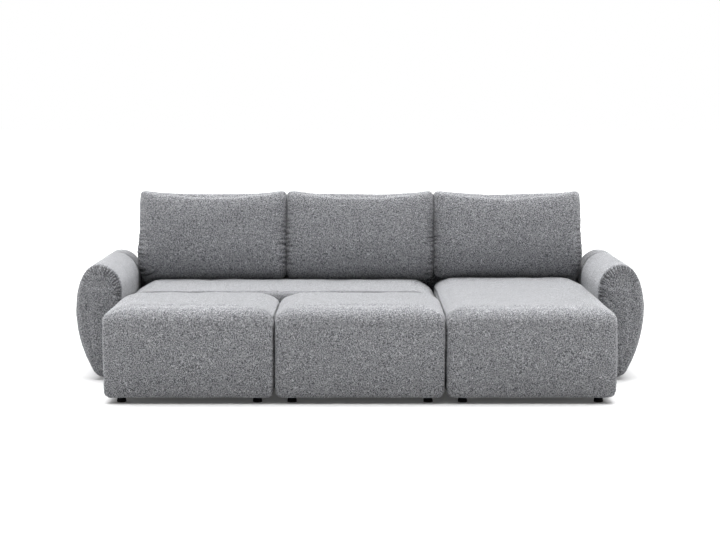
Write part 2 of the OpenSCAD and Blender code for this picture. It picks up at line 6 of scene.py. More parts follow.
import bmesh
import bpy
import numpy as np
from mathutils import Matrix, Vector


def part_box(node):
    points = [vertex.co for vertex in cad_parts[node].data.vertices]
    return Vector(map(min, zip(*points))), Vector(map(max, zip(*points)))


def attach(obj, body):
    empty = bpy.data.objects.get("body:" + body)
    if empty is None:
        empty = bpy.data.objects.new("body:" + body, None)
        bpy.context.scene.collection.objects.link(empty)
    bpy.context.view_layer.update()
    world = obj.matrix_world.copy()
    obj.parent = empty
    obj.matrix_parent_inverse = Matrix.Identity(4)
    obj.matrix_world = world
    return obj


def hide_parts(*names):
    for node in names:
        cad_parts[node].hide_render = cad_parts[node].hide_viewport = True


bl_info = {
    "name": "Sofa bed with chaise",
    "version": (1, 0, 0),
    "blender": (4, 5, 0),
    "location": "3D View > Sidebar > Sofa Bed",
    "description": "Upholstery, materials and studio for the packed sofa bed",
    "category": "Object",
}

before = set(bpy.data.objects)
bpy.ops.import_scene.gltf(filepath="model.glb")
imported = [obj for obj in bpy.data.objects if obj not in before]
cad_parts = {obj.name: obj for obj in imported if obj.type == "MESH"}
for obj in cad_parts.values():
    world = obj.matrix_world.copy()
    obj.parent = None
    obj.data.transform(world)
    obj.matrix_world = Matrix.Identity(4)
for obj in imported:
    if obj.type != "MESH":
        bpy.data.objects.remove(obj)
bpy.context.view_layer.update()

FABRIC = "Melange boucle"
# Near black that painted shade mixes into the fabric's colour in seams, folds and gaps
PAINTED_SHADE_COLOUR = (0.01, 0.01, 0.011)
QUARTER_TURN = math.pi / 2
# Places on a cover's box from EDGE on lie on its sides, and TINY keeps a division from failing
EDGE, TINY = 1 - 1e-6, 1e-9
# Heights of the two rings of points that turn up under a seat, above its lower edge
TURNED_UP = (0.004, 0.013)
# Half widths of a side seam's painted shade line and of a single fold at a corner
SEAM_SHADE_WIDTH, CORNER_FOLD_WIDTH = 0.0026, 0.0065
# Single folds at a seat's front corners: side, start above the wall, rise, bend, reach, depth
CORNER_FOLDS = {
    "left_pouf_cover": ((1, 0.025, 0.08, 0.035, 0.07, 0.006),),
    "middle_pouf_cover": ((-1, 0.05, 0.06, 0.04, 0.09, 0.004), (-1, 0.03, 0.06, 0.04, 0.07, 0.003)),
    "chaise_cover": (
        (-1, 0.035, 0.06, 0.03, 0.09, 0.006),
        (-1, 0.052, 0.065, 0.04, 0.1, 0.0055),
        (-1, 0.018, 0.06, 0.03, 0.06, 0.0045),
    ),
}
# Single folds at a cushion's left side: start above its foot, length, half width, depth, bend
SIDE_FOLDS = {"left": ((0.028, 0.075, 0.007, 0.0035, 0.25), (0.057, 0.04, 0.006, 0.003, 0.2))}
# Squareness of a cushion seen from above, steps round an outline, and faces of the backrest and
# the cushions in Y and Z
SIDE_POWER, OUTLINE_STEPS, BACK_COUNTS = 5, 1600, (14, 66)
# The cloth step: how much smaller a cover starts, how far a point may slide, and its frames
START_SMALLER, MOST_SIDEWAYS, CLOTH_STEPS = 0.004, 0.006, 20
CLOTH = dict(
    quality=4,
    mass=0.3,
    air_damping=2,
    tension_stiffness=12,
    compression_stiffness=12,
    shear_stiffness=4,
    bending_stiffness=0.4,
    use_pressure=True,
    uniform_pressure_force=4,
    vertex_group_mass="held",
    pin_stiffness=1,
    shrink_min=-0.015,
)
# Inner materials by the ending of a node's name: name, roughness, dark and light colour, then
# the grain's size, density along the axes and depth, or the ribs' spacings in X and Y and depth
GRAINED = {
    "frame": ("Birch board", 0.6, (0.46, 0.31, 0.17), (0.72, 0.55, 0.35), 0.003, (0.06, 1, 1), 0.0004),
    "panel": ("Hardboard", 0.55, (0.16, 0.09, 0.045), (0.27, 0.165, 0.09), 0.0016, (1, 1, 1), 0.0002),
    "foam": ("Foam", 0.9, (0.66, 0.6, 0.4), (0.84, 0.79, 0.6), 0.0022, (1, 1, 1), 0.001),
    "dust_cloth": (
        "Dust cloth", 0.9, (0.012, 0.012, 0.014), (0.035, 0.035, 0.04), 0.0018, (1, 1, 1), 0.0005
    ),
    "feet": (
        "Black plastic", 0.7, (0.003, 0.003, 0.0035), (0.008, 0.008, 0.0085), 0.0007, (1, 1, 1), 0.00008
    ),
    "bolts": ("Zinc", 0.32, (0.5, 0.5, 0.52), (0.66, 0.67, 0.69), 0.0005, (1, 1, 0.2), 0.00005),
}
WOVEN = {
    "webbing": ("Webbing", 0.8, (0.02, 0.018, 0.016), (0.16, 0.15, 0.14), 0.0022, 0.0022, 0.0006),
    "zip": ("Zip", 0.4, (0.01, 0.01, 0.011), (0.09, 0.09, 0.1), 0.0016, 0.006, 0.0008),
}
SOCKETS = {"feet": {"Specular_IOR_Level": 0.1}, "bolts": {"Metallic": 1.0}}
# The studio: half the floor's width, the lights' strengths, and the camera's lens in mm, place
# and tilt in degrees
FLOOR_SIZE, REAR_LIGHT, TOP_LIGHT = 60, 8.7, 8.0
CAMERA_LENS, CAMERA_AT, CAMERA_DOWN = 89.99, (0, -9.104, 1.444), 5.7515


def length(name, description, default):
    return bpy.props.FloatProperty(
        name=name, description=description, default=default, unit="LENGTH", subtype="DISTANCE", min=0
    )


def colour(name, description, default):
    return bpy.props.FloatVectorProperty(
        name=name, description=description, default=default, size=3, subtype="COLOR", min=0, max=1
    )


class SofaSeatSizes(bpy.types.PropertyGroup):
    """Shape of the poufs, the bench and the chaise"""

    cover_z: length("Lower edge", "Height of the covers' lower edge", 0.027)
    crown: length("Crown", "Rise above the seat's edge", 0.012)
    filling: length("Filling", "How far the padding lifts the seat's edge", 0.009)
    roll_y: length("Front roll", "Width of the front and back rolls", 0.08)
    roll_z: length("Roll height", "Height of the front and back rolls", 0.08)
    side_z: length("Side roll height", "Height of the side rolls", 0.058)
    corner: length("Corner radius", "Radius of the upright corners", 0.022)
    belly: length("Belly", "How far front and back bulge", 0.008)
    side_belly: length("Side belly", "How far the sides bulge", 0.002)
    plump: length("Plumpness", "How far the sides pass the CAD solid", 0.0018)
    hem_x: length("Side hem", "Width of the roll under the side walls", 0.03)
    hem_y: length("Front hem", "Width of the roll under front and back", 0.02)
    hem_z: length("Hem height", "Height of the roll under the walls", 0.036)
    tuck: length("Tuck", "Distance from a wall to where its cover turns up", 0.046)
    seam_drop: length("Seam drop", "Depth of the side seam below the seat's edge", 0.056)
    seam_turn: length("Seam corner", "Radius of the side seam's corners", 0.06)
    seam_back: length("Seam setback", "Distance from a corner to the side seam", 0.022)
    pouf_roll: length("Pouf side roll", "Width of the roll at a pouf's sides", 0.12)
    bench_roll: length("Bench side roll", "Width of the roll at the bench's ends", 0.135)
    bench_fall: length("Bench fall", "Height of the roll at the bench's ends", 0.085)
    chaise_roll: length("Chaise side roll", "Width of the roll at the chaise's sides", 0.1)


class SofaArmSizes(bpy.types.PropertyGroup):
    """Shape of the arms"""

    edge: length("Edge radius", "Radius of the edge round the front panel", 0.032)
    rear_edge: length("Rear edge radius", "Radius of the edge round the rear panel", 0.018)
    dome: length("Dome", "How far the end panels bulge", 0.008)
    foot: length("Foot width", "Distance from the inner side to the outer side's rise", 0.089)
    under: length("Lower edge", "Height of the arms' underside", 0.0085)
    widest: length("Widest height", "Height where the outer side is widest", 0.356)
    loft: length("Loft", "How far the padding rises over the CAD solid", 0.006)
    side: length("Side radius", "Radius of the outer side's lower part", 0.604)
    foot_turn: length("Outer lower radius", "Radius of the outer lower edge", 0.068)
    hem: length("Inner lower radius", "Radius of the inner lower edge", 0.048)
    shoulder: length("Inner shoulder", "Height where the inner side rolls over", 0.455)
    ring: length("Ring", "How far back the arm is drawn in", 0.615)
    fullness: bpy.props.FloatProperty(
        name="Outer fullness", description="Squareness, 2 for an ellipse", default=2.15, min=1
    )


class SofaBackSizes(bpy.types.PropertyGroup):
    """Shape of the backrest and the back cushions"""

    knee: length("Knee", "Height where the backrest starts to lean", 0.415)
    lean: bpy.props.FloatProperty(
        name="Lean", description="Lean of backrest and cushions", default=math.radians(11), subtype="ANGLE"
    )
    back_top: length("Top radius", "Radius of the backrest's top edges", 0.03)
    back_hem: length("Hem radius", "Radius of the backrest's lower edges", 0.024)
    back_end: length("End radius", "Radius of the backrest's rounded ends", 0.008)
    back_reach: length("End reach", "How far its cover reaches to the arms", 0.0025)
    thickness: length("Cushion thickness", "Thickness of a cushion's middle", 0.15)
    top: length("Cushion top", "Height of the back cushions' corners", 0.914)
    ear: length("Cushion corner", "Rise of the upper corners", 0.024)
    rest_gap: length("Rest gap", "Clearance between a cushion and what it rests on", 0.0003)
    crowned: length("Cushion crown", "How far a cushion's front bulges", 0.014)
    plump: length("Cushion side", "How far its sides pass the CAD solid", 0.005)
    over_arm: length("Over the arm", "How far an outer cushion swells over the arm", 0.008)


class SofaSoftSizes(bpy.types.PropertyGroup):
    """Seams, folds and swelling of all covers"""

    seam_depth: length("Seam depth", "Depth of the groove along a seam", 0.004)
    seam_width: length("Seam width", "Half width of the groove along a seam", 0.0045)
    fold_depth: length("Fold depth", "Depth of a gathered fold", 0.005)
    fold_step: length("Fold spacing", "Distance between two gathered folds", 0.024)
    fold_reach: length("Fold length", "Length of a gathered fold", 0.02)
    pleat_step: length("Pleat spacing", "Distance between two pleats", 0.0155)
    pleat_reach: length("Pleat length", "Length of a pleat", 0.034)
    pleat_depth: length("Pleat depth", "Depth of a pleat", 0.0075)
    swell: length("Swell", "How far stuffing swells a cover", 0.006)
    unevenness: length("Unevenness", "Height of the stuffing's unevenness", 0.0012)


class SofaColours(bpy.types.PropertyGroup):
    """Colours of the fabric and the studio's floor"""

    fabric_light: colour("Light yarn", "Colour of the fabric's light yarns", (0.78, 0.787, 0.81))
    fabric_mid: colour("Middle yarn", "Colour of most of the fabric's yarns", (0.4, 0.405, 0.424))
    fabric_dark: colour("Dark yarn", "Colour of the fabric's dark yarns", (0.105, 0.107, 0.116))
    sheen: colour("Sheen", "Tint of the fabric's nap", (0.97, 0.98, 1.0))
    floor: colour("Floor", "Colour of the studio's floor", (0.46, 0.46, 0.46))
    floor_seen: colour("Floor in view", "Colour of the floor as the camera sees it", (0.85, 0.85, 0.85))
    floor_lift: bpy.props.FloatProperty(
        name="Floor lift", description="Light that the camera sees in shadows", default=0.055, min=0
    )


def box_grid(counts):
    """A box from -1 to 1 with that many faces along X, Y and Z, as a bmesh"""
    bm = bmesh.new()
    bmesh.ops.create_cube(bm, size=2)
    for axis, count in enumerate(counts):
        along = [e for e in bm.edges if abs(e.verts[0].co[axis] - e.verts[1].co[axis]) > 1e-6]
        bmesh.ops.subdivide_edges(bm, edges=along, cuts=count - 1, use_grid_fill=True)
    bmesh.ops.recalc_face_normals(bm, faces=bm.faces)
    return bm


def vectors_in(source):
    values = np.empty(len(source) * 3, np.float32)
    source.foreach_get("vector", values)
    return values.reshape(-1, 3).astype(float)


def points_of(mesh, attribute="position"):
    return vectors_in(mesh.attributes[attribute].data)


def normals_of(mesh):
    return vectors_in(mesh.vertex_normals)


def move_points(mesh, points):
    values = np.ascontiguousarray(points, np.float32).ravel()
    mesh.attributes["position"].data.foreach_set("vector", values)
    mesh.update()


def soft_piece(node, counts, shape):
    """The closed cover of a CAD node: a finely divided box that is moved to its shape. Each
    point keeps its place on the box, so that folds and seams can be laid out on it."""
    name = node.replace("_cover", "_upholstery")
    bm = box_grid(counts)
    mesh = bpy.data.meshes.new(name)
    bm.to_mesh(mesh)
    bm.free()
    places = points_of(mesh)
    kept = mesh.attributes.new("place", "FLOAT_VECTOR", "POINT")
    kept.data.foreach_set("vector", places.astype(np.float32).ravel())
    move_points(mesh, shape(places))
    mesh.shade_smooth()
    piece = bpy.data.objects.new(name, mesh)
    bpy.context.scene.collection.objects.link(piece)
    return piece


def ease(value, low, high):
    """0 at low and beyond, 1 at high and beyond, and smooth between. Low may be the larger one"""
    t = np.clip((value - low) / (high - low), 0, 1)
    return t * t * (3 - 2 * t)


def hump(value, width):
    """1 at 0, and falling smoothly to almost 0 at twice the width on both sides"""
    return np.exp(-((value / width) ** 2))


def squarish(share, power):
    """Height of a squarish round outline at a share of its half width"""
    return (1 - share**power) ** (1 / power)


def swells(points, spacing, seed, count=14):
    """Soft random swells, mostly between -1 and 1, with about that distance between crests"""
    random = np.random.default_rng(seed)
    turns = random.normal(size=(count, points.shape[1]))
    turns /= np.linalg.norm(turns, axis=1)[:, None]
    spacings = spacing * random.uniform(0.7, 1.6, count)
    phases = random.uniform(0, 2 * math.pi, count)
    waves = np.sin(points @ (turns / spacings[:, None]).T * 2 * math.pi + phases)
    return waves.sum(1) / math.sqrt(count)


def uneven(points, seed, spacing=0.16, broad=1.0):
    """Height of the stuffing's unevenness, in broad swells and in small ones"""
    both = broad * swells(points, spacing, seed + 1) + 0.4 * swells(points, 0.05, seed + 2)
    return bpy.context.scene.sofa_soft.unevenness * both


def seam_profile(away, puff, puff_at):
    """How far a cover stands out at a seam: a groove, puffed up beside it"""
    soft = bpy.context.scene.sofa_soft
    puffed = hump(np.abs(away) - puff_at * soft.seam_width, 2 * soft.seam_width)
    return soft.seam_depth * (puff * puffed - hump(away, soft.seam_width))


def gathers(along, away, step, reach, seed, width=0.2):
    """Pinched folds that run away from a seam: 1 in the middle of a fold at the seam, 0 between
    the folds and far from the seam. Spacing, depth, length and slant differ from fold to fold."""
    table = np.random.default_rng(seed).uniform(size=(4, 1024))
    phase = along / step + 0.22 * np.sin(along / step * 1.7 + table[0, 0] * 6) + table[1, 0]
    strength, run, slant, middle = table[:, np.floor(phase).astype(int) % table.shape[1]]
    slanted = (slant - 0.5) * 0.25 / step * away
    across = phase % 1 - 0.5 - (middle - 0.5) * 0.3 + slanted
    return (0.5 + 0.5 * strength) * hump(across, width) * hump(away, reach * (0.55 + 0.9 * run))


def stuff(piece, limit, hold):
    """Swells a cover like a stuffed cloth bag and keeps each point within the limit of how far
    it may move out. It starts slightly smaller than its shape, but not where it is held."""
    mesh = piece.data
    rest, out = points_of(mesh), normals_of(mesh)
    hold = np.asarray(hold, float)
    move_points(mesh, rest - out * (START_SMALLER * (1 - hold))[:, None])
    group = piece.vertex_groups.new(name="held")
    for weight in (0.35, 1.0):
        group.add(np.nonzero(hold >= weight)[0].tolist(), weight, "REPLACE")
    cloth = piece.modifiers.new("Stuffing", "CLOTH")
    for label, value in CLOTH.items():
        setattr(cloth.settings, label, value)
    cloth.settings.effector_weights.gravity = 0
    cloth.collision_settings.use_collision = False
    cloth.point_cache.frame_start, cloth.point_cache.frame_end = 1, CLOTH_STEPS
    scene = bpy.context.scene
    for step in range(1, CLOTH_STEPS + 1):
        scene.frame_set(step)
    bpy.context.view_layer.update()
    swollen = piece.evaluated_get(bpy.context.evaluated_depsgraph_get()).data
    moved = points_of(swollen) - rest
    piece.modifiers.remove(cloth)
    piece.vertex_groups.clear()
    scene.frame_set(1)
    outward = (moved * out).sum(1)
    sideways = moved - out * outward[:, None]
    distance = np.linalg.norm(sideways, axis=1)[:, None]
    sideways *= np.minimum(1, MOST_SIDEWAYS / np.maximum(distance, TINY))
    move_points(mesh, rest + out * np.clip(outward, 0, limit)[:, None] + sideways)


def refine(piece):
    """Divides each face into four along smooth curves, and gives the new places and points"""
    finer = piece.modifiers.new("Finer", "SUBSURF")
    finer.levels = finer.render_levels = 1
    finer.boundary_smooth = "PRESERVE_CORNERS"
    bpy.context.view_layer.update()
    graph = bpy.context.evaluated_depsgraph_get()
    mesh = bpy.data.meshes.new_from_object(piece.evaluated_get(graph), depsgraph=graph)
    piece.modifiers.remove(finer)
    old, piece.data = piece.data, mesh
    mesh.name = piece.name
    bpy.data.meshes.remove(old)
    mesh.shade_smooth()
    return points_of(mesh, "place"), points_of(mesh)


def cover(piece, node, body, out, crease):
    """Moves a cover's points out by its seams and folds, says what it is, and puts it in the
    place of its CAD solid. The painted shade says for each point how far its colour is painted
    darker, as shade in a seam, a fold or a gap between parts."""
    mesh = piece.data
    move_points(mesh, points_of(mesh) + normals_of(mesh) * out[:, None])
    kept = mesh.attributes.new("crease", "FLOAT", "POINT")
    kept.data.foreach_set("value", np.clip(crease, 0, 1).astype(np.float32))
    mesh.attributes.remove(mesh.attributes["place"])
    mesh.materials.append(bpy.data.materials[FABRIC])
    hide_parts(node)
    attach(piece, body)


def roll_length(width, depth, height):
    """Length round a quarter of an ellipse, as wide as the mean of the width and the depth"""
    return QUARTER_TURN * math.hypot(width + depth, 2 * height) / 8**0.5


class SeatBlock:
    """A seat's cover, laid out from its CAD solid: walls with a belly, a roll round the top, a
    crown, and a hem that turns up under the frame."""

    def __init__(self, node, counts, roll_x, fall):
        sizes = bpy.context.scene.sofa_seats
        low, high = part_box(node)
        self.sizes, self.counts, self.roll_x, self.fall = sizes, counts, roll_x, fall
        self.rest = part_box("middle_cushion_cover")[0].y
        self.middle = (low + high) / 2
        self.half = np.array([(high.x - low.x) / 2 + sizes.plump, (high.y - low.y) / 2])
        self.edge_z = high.z - sizes.crown
        self.arc = sizes.corner * QUARTER_TURN / 2
        self.unrolled = self.half - sizes.corner + self.arc
        self.flat = self.half - np.array([sizes.side_belly + roll_x, sizes.belly + sizes.roll_y])
        self.hem_run = roll_length(sizes.hem_x, sizes.hem_y, sizes.hem_z)
        self.wall_run = self.edge_z - sizes.roll_z - sizes.cover_z - sizes.hem_z
        self.roll_run = roll_length(roll_x, sizes.roll_y, sizes.roll_z)
        self.roll_at = self.hem_run + self.wall_run
        self.run = self.roll_at + self.roll_run
        seam_turn = math.asin(1 - sizes.seam_drop / sizes.roll_z)
        self.seam_at = self.roll_at + self.roll_run * seam_turn / QUARTER_TURN

    def level(self, up):
        """Insets in X and Y and height at a distance up the wall"""
        s = self.sizes
        hem = np.clip(up / self.hem_run, 0, 1) * QUARTER_TURN
        wall = np.clip((up - self.hem_run) / self.wall_run, 0, 1)
        roll = np.clip((up - self.roll_at) / self.roll_run, 0, 1) * QUARTER_TURN
        bulge = (2 * wall - 1) ** 2
        side = np.clip(1 - s.roll_z / self.fall * (1 - np.sin(roll)), 0, 1)
        side_roll = self.roll_x * (1 - np.sqrt(1 - side**2))
        inset_x = s.side_belly * bulge + s.hem_x * (1 - np.sin(hem)) + side_roll
        inset_y = s.belly * bulge + s.hem_y * (1 - np.sin(hem)) + s.roll_y * (1 - np.cos(roll))
        rise = s.hem_z * (1 - np.cos(hem)) + self.wall_run * wall + s.roll_z * np.sin(roll)
        return inset_x, inset_y, s.cover_z + rise

    def plan(self, a, b, half_x, half_y, radius):
        """A rounded rectangle, by a place on the sides of a square"""
        straight_x, straight_y = 1 - self.arc / self.unrolled

        def side(along, straight, half_along, half_across):
            turn = np.clip((np.abs(along) - straight) / (1 - straight), 0, 1) * QUARTER_TURN / 2
            flat = np.clip(np.abs(along) / straight, 0, 1) * (half_along - radius)
            forward = flat + radius * np.sin(turn)
            return np.sign(along) * forward, half_across - radius * (1 - np.cos(turn))

        front_x, front_y = side(a, straight_x, half_x, half_y)
        side_y, side_x = side(b, straight_y, half_y, half_x)
        on_front = np.abs(b) >= np.abs(a)
        x = np.where(on_front, front_x, np.sign(a) * side_x)
        y = np.where(on_front, np.sign(b) * front_y, side_y)
        return x, y

    def shape(self, places):
        s = self.sizes
        a, b, c = places.T
        share = np.maximum(np.abs(a), np.abs(b))
        around = np.maximum(share, TINY)
        inset_x, inset_y, z = self.level((c + 1) / 2 * self.run)
        on_top = (c > EDGE) & (share < EDGE)
        half_x = np.where(on_top, share * self.flat[0], self.half[0] - inset_x)
        half_y = np.where(on_top, share * self.flat[1], self.half[1] - inset_y)
        radius = np.where(on_top, share, 1) * s.corner
        x, y = self.plan(a / around, b / around, half_x, half_y, radius)
        crown = (1 - (x / self.flat[0]) ** 2) * (1 - (y / self.flat[1]) ** 2)
        crown = np.clip(crown, 0, 1) ** 2
        # The padding stands fuller than the frame's edge, but not where a cushion rests on it
        lift = s.filling * ease(y + self.middle.y, self.rest - 0.02, self.rest - 0.16)
        z = np.where(on_top, self.edge_z + (s.crown - lift) * crown, z)
        z += lift * np.clip((z - s.cover_z - s.hem_z) / self.wall_run, 0, 1)
        # Under the seat the cover turns up beside the frame, in two rings of points
        nx, ny, _ = self.counts
        ring = np.minimum((1 - np.abs(a)) * nx / 2, (1 - np.abs(b)) * ny / 2)
        under = (c < -EDGE) & (ring > 0.5)
        x = np.where(under, a / (1 - 2 / nx) * (self.half[0] - s.tuck), x)
        y = np.where(under, b / (1 - 2 / ny) * (self.half[1] - s.tuck), y)
        z = np.where(under, s.cover_z + np.where(ring < 1.5, *TURNED_UP), z)
        return np.stack([x + self.middle.x, y + self.middle.y, z], 1)

    def height(self, places):
        """Distance up the wall, over the roll and onto the top, from the nearer lower edge"""
        a, b, c = places.T
        top = np.where(c > EDGE, 1 - np.maximum(np.abs(a), np.abs(b)), 0)
        return (c + 1) / 2 * self.run + top * np.where(np.abs(a) >= np.abs(b), *self.flat)

    def corner_folds(self, places, points, folds):
        """How deep single folds lie that rise from a front corner over the front roll"""
        above = self.height(places) - self.roll_at
        total = np.zeros(len(points))
        for side, start, rise, bend, reach, depth in folds:
            inward = self.half[0] - side * (points[:, 0] - self.middle.x)
            inward = np.clip(inward, 0, None)
            across = above - start - rise * (1 - np.exp(-inward / bend))
            total += depth * hump(across, CORNER_FOLD_WIDTH) * hump(inward, reach)
        behind = points[:, 1] - self.middle.y + self.half[1]
        return total * ease(behind, 0.1, 0.05)

    def seam(self, places):
        """Distance along the nearer side seam, from the front's lower edge over the top to the
        back's, and away from it, more than 0 on the panel that wraps round the seat"""
        a, b, _ = places.T
        long_x, long_y = self.unrolled
        share = np.maximum(np.maximum(np.abs(a), np.abs(b)), TINY)
        on_side = np.abs(a) >= np.abs(b)
        past_corner = np.sign(b) * (long_y + (1 - np.abs(a) / share) * long_x)
        p = np.where(on_side, b / share * long_y, past_corner)
        q = self.height(places)
        turn = self.sizes.seam_turn
        upright = self.seam_at - turn
        level = long_y - self.sizes.seam_back - turn
        over, up = np.abs(p) - level, q - upright
        corner = (over > 0) & (up > 0)
        away = np.where(corner, np.hypot(over, up), np.maximum(over, up)) - turn
        angle = np.arctan2(np.clip(up, 0, None), np.clip(over, TINY, None))
        along = np.select(
            [corner, over > up],
            [upright + turn * angle, q],
            upright + turn * QUARTER_TURN + level - np.abs(p),
        )
        whole = 2 * (upright + turn * QUARTER_TURN + level)
        return np.where(p > 0, whole - along, along), away


def seat(node, body, counts, rolls, seed):
    """A pouf, the bench or the chaise"""
    soft = bpy.context.scene.sofa_soft
    block = SeatBlock(node, counts, *rolls)
    piece = soft_piece(node, counts, block.shape)
    places = points_of(piece.data, "place")
    _, away = block.seam(places)
    walls = ease(places[:, 2], 1, -1)
    free = ease(block.shape(places)[:, 2], block.edge_z - 0.05, block.edge_z)
    held = (hump(away, 0.015) > 0.6) | (places[:, 2] < -0.9)
    stuff(piece, soft.swell * free + 0.001, np.where(held, 1.0, 0.4 * walls))
    places, points = refine(piece)
    z = points[:, 2]
    along, away = block.seam(places)
    # Both ends have gathers of their own
    along += np.where(places[:, 0] < 0, 0.0, 3.7)
    reach = soft.fold_reach * np.where(away > 0, 1.0, 0.7)
    fold = gathers(along, away, soft.fold_step, reach, seed)
    fold *= ease(z, block.edge_z - 0.04, block.edge_z - 0.1)
    out = seam_profile(away, 0.35, 3.4) - soft.fold_depth * fold
    # Painted shade along the side seam and in the gathered folds
    crease = 0.8 * hump(away, SEAM_SHADE_WIDTH) + 0.9 * fold
    if body == "sofa":
        # Painted shade on the seat where a cushion rests on it
        under_cushion_shade = ease(points[:, 1], block.rest, block.rest + 0.04)
        crease += 0.8 * under_cushion_shade * (z > block.edge_z - 0.02)
    if node == "bench_cover":
        # and painted shade in the gaps where the arm, the chaise and the poufs meet the rolled edges
        end = block.half[0] - np.abs(points[:, 0] - block.middle.x)
        crease += 0.9 * ease(end, 0.05, 0.008) * (z > block.edge_z - 0.1)
        front = points[:, 1] - block.middle.y + block.half[1]
        # Painted shade, deepest in the gap behind the poufs
        deep = 0.5 * ease(front, 0.092, 0.064) + 0.35 * ease(front, 0.062, 0.02)
        crease += deep * ease(front, 0.005, 0.02) * (z > block.edge_z - 0.08)
    laid = block.corner_folds(places, points, CORNER_FOLDS.get(node, ()))
    out += uneven(points, seed) - laid
    # Painted shade in the corner folds
    crease += laid / 0.008
    above_hem = places[:, 2] >= -EDGE
    cover(piece, node, body, out * above_hem, crease * above_hem)


def arc(middle, radii, start, end, squareness=2.0):
    """Points on a part of a circle or an ellipse, between two angles in degrees"""
    turn = np.radians(np.linspace(start, end, 60))
    ways = np.stack([np.cos(turn), np.sin(turn)], 1)
    return np.array(middle) + np.sign(ways) * np.abs(ways) ** (2 / squareness) * radii


class Outline:
    """A closed outline, counterclockwise, with its points and inward directions by length"""

    def __init__(self, parts):
        points = np.concatenate(parts)
        closed = np.vstack([points, points[:1]])
        at = np.concatenate([[0], np.cumsum(np.linalg.norm(np.diff(closed, axis=0), axis=1))])
        self.length = at[-1]
        even = np.arange(OUTLINE_STEPS + 1) / OUTLINE_STEPS * self.length
        self.at = even / self.length
        self.points = np.stack([np.interp(even, at, line) for line in closed.T], 1)
        ahead = np.roll(self.points[:-1], -3, 0) - np.roll(self.points[:-1], 3, 0)
        ahead /= np.linalg.norm(ahead, axis=1)[:, None]
        inward = np.stack([-ahead[:, 1], ahead[:, 0]], 1)
        self.inward = np.vstack([inward, inward[:1]])

    def point(self, share, inset):
        lines = (*self.points.T, *self.inward.T)
        first, second, inward_1, inward_2 = (np.interp(share % 1, self.at, line) for line in lines)
        return first + inset * inward_1, second + inset * inward_2


def around_square(a, c, count_a, count_c):
    """Place round a square from its lower left corner, as a share, and the ring it lies on"""
    ring = np.maximum(np.abs(a), np.abs(c))
    safe = np.maximum(ring, TINY)
    a, c = a / safe, c / safe
    share = np.select(
        [c <= -EDGE, a >= EDGE, c >= EDGE],
        [
            (a + 1) / 2 * count_a,
            count_a + (c + 1) / 2 * count_c,
            count_a + count_c + (1 - a) / 2 * count_a,
        ],
        2 * count_a + count_c + (1 - c) / 2 * count_c,
    )
    return share / (2 * (count_a + count_c)), ring


class Bolster:
    """A long cover with one outline, a rolled edge at both ends and slightly domed end panels"""

    def __init__(self, outline, core, low, high, edges, dome, counts):
        self.outline, self.core = outline, core
        self.middle, self.half = (low + high) / 2, (high - low) / 2
        self.edges, self.dome, self.counts = edges, dome, counts

    def layout(self, across, height, lengthways):
        """Share and ring round the outline, radius of the nearer end's edge, distance up from
        its panel, and whether a point is on the panel"""
        share, ring = around_square(across, height, *self.counts)
        edge = np.where(lengthways < 0, *self.edges)
        run = edge * QUARTER_TURN + self.half - self.dome - edge
        panel = (np.abs(lengthways) > EDGE) & (ring < EDGE)
        return share, ring, edge, (1 - np.abs(lengthways)) * run, panel

    def shape(self, across, height, lengthways):
        """Points by the box's coordinates across, up and along the bolster"""
        share, ring, edge, up, panel = self.layout(across, height, lengthways)
        roll_run = edge * QUARTER_TURN
        roll = np.clip(up / roll_run, 0, 1) * QUARTER_TURN
        from_end = self.dome + edge * (1 - np.cos(roll)) + np.clip(up - roll_run, 0, None)
        from_end = np.where(panel, self.dome * ring**2, from_end)
        outer = self.outline.point(share, edge * (1 - np.sin(roll)))
        first, second = (
            np.where(panel, core + ring * (line - core), line) for core, line in zip(self.core, outer)
        )
        return first, second, self.middle + np.sign(lengthways) * (self.half - from_end)

    def seam(self, across, height, lengthways, turn):
        """Distance round the outline, and away from the end panel's seam, which lies at that
        share of the rolled edge. Away is less than 0 on the panel."""
        share, ring, edge, up, panel = self.layout(across, height, lengthways)
        first, second = self.outline.point(share, edge)
        reach = np.hypot(first - self.core[0], second - self.core[1])
        away = np.where(panel, -(1 - ring) * reach, up) - turn * edge * QUARTER_TURN
        return share * self.outline.length, away


